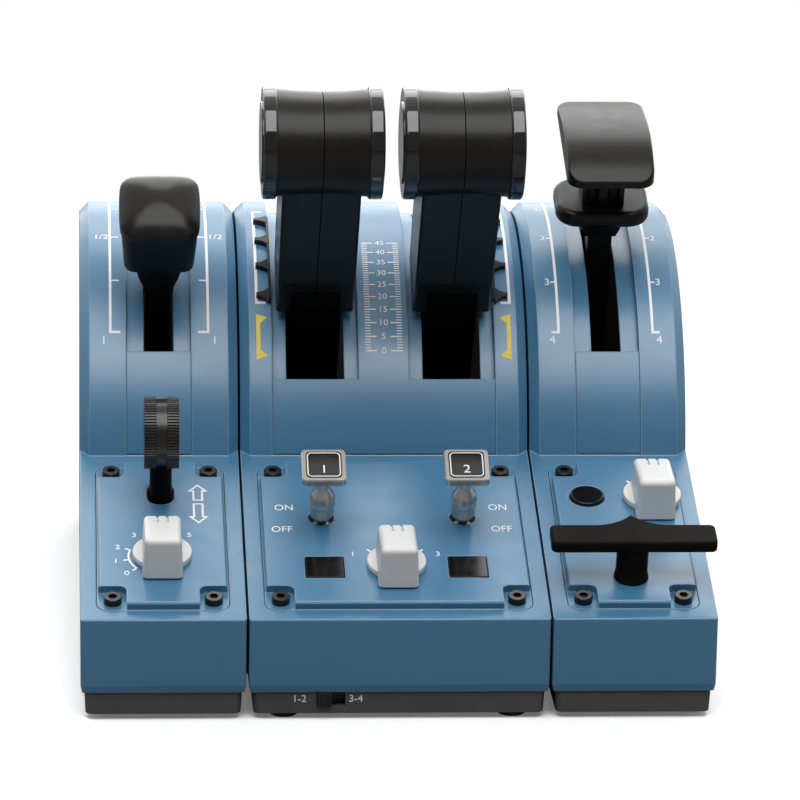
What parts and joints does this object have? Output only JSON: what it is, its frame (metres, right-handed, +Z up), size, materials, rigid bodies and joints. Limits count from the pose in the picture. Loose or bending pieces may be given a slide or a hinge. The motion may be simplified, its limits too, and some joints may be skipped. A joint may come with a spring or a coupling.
{
  "type": "throttle quadrant",
  "caption": "Desktop flight-simulator throttle quadrant: linked modules with domed lever tracks, thrust, speed brake and flaps levers, a gear lever and sloped switch panels.",
  "frame": {"origin": "centre of the footprint, on the surface that the rubber feet stand on", "axes": "+X to the user's right, +Y away from the user towards the rear wall, +Z up"},
  "size_m": [0.2434, 0.268, 0.2251],
  "materials": {
    "housing_paint": "satin powder coat, steel blue, fine texture",
    "tray_plastic": "fine moulded texture, dark grey",
    "black_screw_steel": "black oxide, slightly oiled",
    "foot_rubber": "matte moulded rubber",
    "zinc_steel": "bright zinc plate",
    "cast_bracket": "machined aluminium",
    "friction_nylon": "natural nylon",
    "black_satin": "satin black moulding",
    "black_gloss": "polished black moulding",
    "switch_body_plastic": "black thermoplastic switch body",
    "board_green": "green solder mask on glass-epoxy board",
    "white_knob": "satin white moulding",
    "wheel_plastic": "satin black moulding, knurled",
    "toggle_metal": "satin nickel plate",
    "button_plastic": "polished black moulding",
    "handle_black": "satin black moulding"
  },
  "bodies": {
    "base": {"base_screws": "black_screw_steel", "bearing_brackets": "cast_bracket", "button_switches": "switch_body_plastic", "centre_base_tray": "tray_plastic", "centre_control_plate": "housing_paint", "centre_housing": "housing_paint", "centre_track_insert": "housing_paint", "circuit_boards": "board_green", "detent_combs": "black_satin", "friction_collars": "friction_nylon", "handle_switches": "switch_body_plastic", "left_base_tray": "tray_plastic", "left_control_plate": "housing_paint", "left_housing": "housing_paint", "left_track_insert": "housing_paint", "lever_shafts": "zinc_steel", "link_plates": "zinc_steel", "panel_screws": "black_screw_steel", "right_base_tray": "tray_plastic", "right_control_plate": "housing_paint", "right_housing": "housing_paint", "right_track_insert": "housing_paint", "rubber_feet": "foot_rubber", "selector_switches": "switch_body_plastic", "toggle_switches": "switch_body_plastic", "usb_socket": "zinc_steel"},
    "left_thrust_lever": {"left_thrust_arm": "black_satin", "left_thrust_outer_shell": "black_satin", "left_thrust_inner_shell": "black_satin", "left_thrust_end_rings": "black_gloss"},
    "right_thrust_lever": {"right_thrust_arm": "black_satin", "right_thrust_outer_shell": "black_satin", "right_thrust_inner_shell": "black_satin", "right_thrust_end_rings": "black_gloss"},
    "left_disconnect": {"left_disconnect_button": "black_gloss"},
    "right_disconnect": {"right_disconnect_button": "black_gloss"},
    "speed_brake_lever": {"speed_brake_arm": "black_satin", "speed_brake_block": "black_satin", "speed_brake_cap": "black_satin"},
    "flaps_lever": {"flaps_arm": "black_satin", "flaps_collar": "black_satin", "flaps_cap": "black_satin"},
    "gear_lever": {"gear_arm": "handle_black", "gear_wheel_halves": "wheel_plastic", "gear_wheel_band": "wheel_plastic"},
    "left_selector": {"left_selector_knob": "white_knob", "left_selector_shaft": "zinc_steel"},
    "centre_selector": {"centre_selector_knob": "white_knob", "centre_selector_shaft": "zinc_steel"},
    "right_selector": {"right_selector_knob": "white_knob", "right_selector_shaft": "zinc_steel"},
    "left_toggle": {"left_toggle_bat": "toggle_metal", "left_toggle_head": "toggle_metal"},
    "right_toggle": {"right_toggle_bat": "toggle_metal", "right_toggle_head": "toggle_metal"},
    "left_push": {"left_push_button": "button_plastic"},
    "right_push": {"right_push_button": "button_plastic"},
    "round_push": {"round_push_button": "button_plastic"},
    "brake_handle": {"park_brake_handle": "handle_black"},
    "slide_switch": {"slide_switch_knob": "switch_body_plastic"}
  },
  "joints": [
    {"name": "left_thrust_pivot", "type": "hinge", "parent": "base", "child": "left_thrust_lever", "pos_m": [-0.0274, 0.0715, 0.05624], "axis": [-1, 0, 0], "range_deg": [-18.7, 15]},
    {"name": "right_thrust_pivot", "type": "hinge", "parent": "base", "child": "right_thrust_lever", "pos_m": [0.0274, 0.0715, 0.05624], "axis": [-1, 0, 0], "range_deg": [-18.7, 15]},
    {"name": "speed_brake_pivot", "type": "hinge", "parent": "base", "child": "speed_brake_lever", "pos_m": [-0.09, 0.0715, 0.05624], "axis": [-1, 0, 0], "range_deg": [-16.6, 50]},
    {"name": "flaps_pivot", "type": "hinge", "parent": "base", "child": "flaps_lever", "pos_m": [0.09, 0.0715, 0.05624], "axis": [-1, 0, 0], "range_deg": [-32.1, 34.5]},
    {"name": "gear_pivot", "type": "hinge", "parent": "base", "child": "gear_lever", "pos_m": [-0.09, -0.05157, 0.05741], "axis": [-1, 0, 0], "range_deg": [0, 16]},
    {"name": "left_toggle_pivot", "type": "hinge", "parent": "base", "child": "left_toggle", "pos_m": [-0.02765, -0.06995, 0.05634], "axis": [-1, 0, 0], "range_deg": [0, 26]},
    {"name": "right_toggle_pivot", "type": "hinge", "parent": "base", "child": "right_toggle", "pos_m": [0.02765, -0.06995, 0.05634], "axis": [-1, 0, 0], "range_deg": [0, 26]},
    {"name": "left_selector_turn", "type": "hinge", "parent": "base", "child": "left_selector", "pos_m": [-0.09, -0.09734, 0.05443], "axis": [0, -0.2681, 0.9634], "range_deg": [-120, 35]},
    {"name": "centre_selector_turn", "type": "hinge", "parent": "base", "child": "centre_selector", "pos_m": [0, -0.1038, 0.05264], "axis": [0, -0.2681, 0.9634], "range_deg": [-45, 45]},
    {"name": "right_selector_turn", "type": "hinge", "parent": "base", "child": "right_selector", "pos_m": [0.1036, -0.05794, 0.06539], "axis": [0, -0.2681, 0.9634], "range_deg": [-35, 35], "stiffness_Nm_per_rad": 0.04},
    {"name": "brake_handle_turn", "type": "hinge", "parent": "base", "child": "brake_handle", "pos_m": [0.09, -0.11208, 0.05033], "axis": [0, -0.2681, 0.9634], "range_deg": [0, 90]},
    {"name": "left_disconnect_press", "type": "slide", "parent": "left_thrust_lever", "child": "left_disconnect", "axis": [1, 0, 0], "range_m": [0, 0.0012], "stiffness_N_per_m": 400, "springref_m": -0.001},
    {"name": "right_disconnect_press", "type": "slide", "parent": "right_thrust_lever", "child": "right_disconnect", "axis": [-1, 0, 0], "range_m": [0, 0.0012], "stiffness_N_per_m": 400, "springref_m": -0.001},
    {"name": "left_push_press", "type": "slide", "parent": "base", "child": "left_push", "axis": [0, 0.2681, -0.9634], "range_m": [0, 0.0015], "stiffness_N_per_m": 400, "springref_m": -0.001},
    {"name": "right_push_press", "type": "slide", "parent": "base", "child": "right_push", "axis": [0, 0.2681, -0.9634], "range_m": [0, 0.0015], "stiffness_N_per_m": 400, "springref_m": -0.001},
    {"name": "round_push_press", "type": "slide", "parent": "base", "child": "round_push", "axis": [0, 0.2681, -0.9634], "range_m": [0, 0.0015], "stiffness_N_per_m": 400, "springref_m": -0.001},
    {"name": "slide_switch_travel", "type": "slide", "parent": "base", "child": "slide_switch", "axis": [1, 0, 0], "range_m": [0, 0.005]}
  ]
}
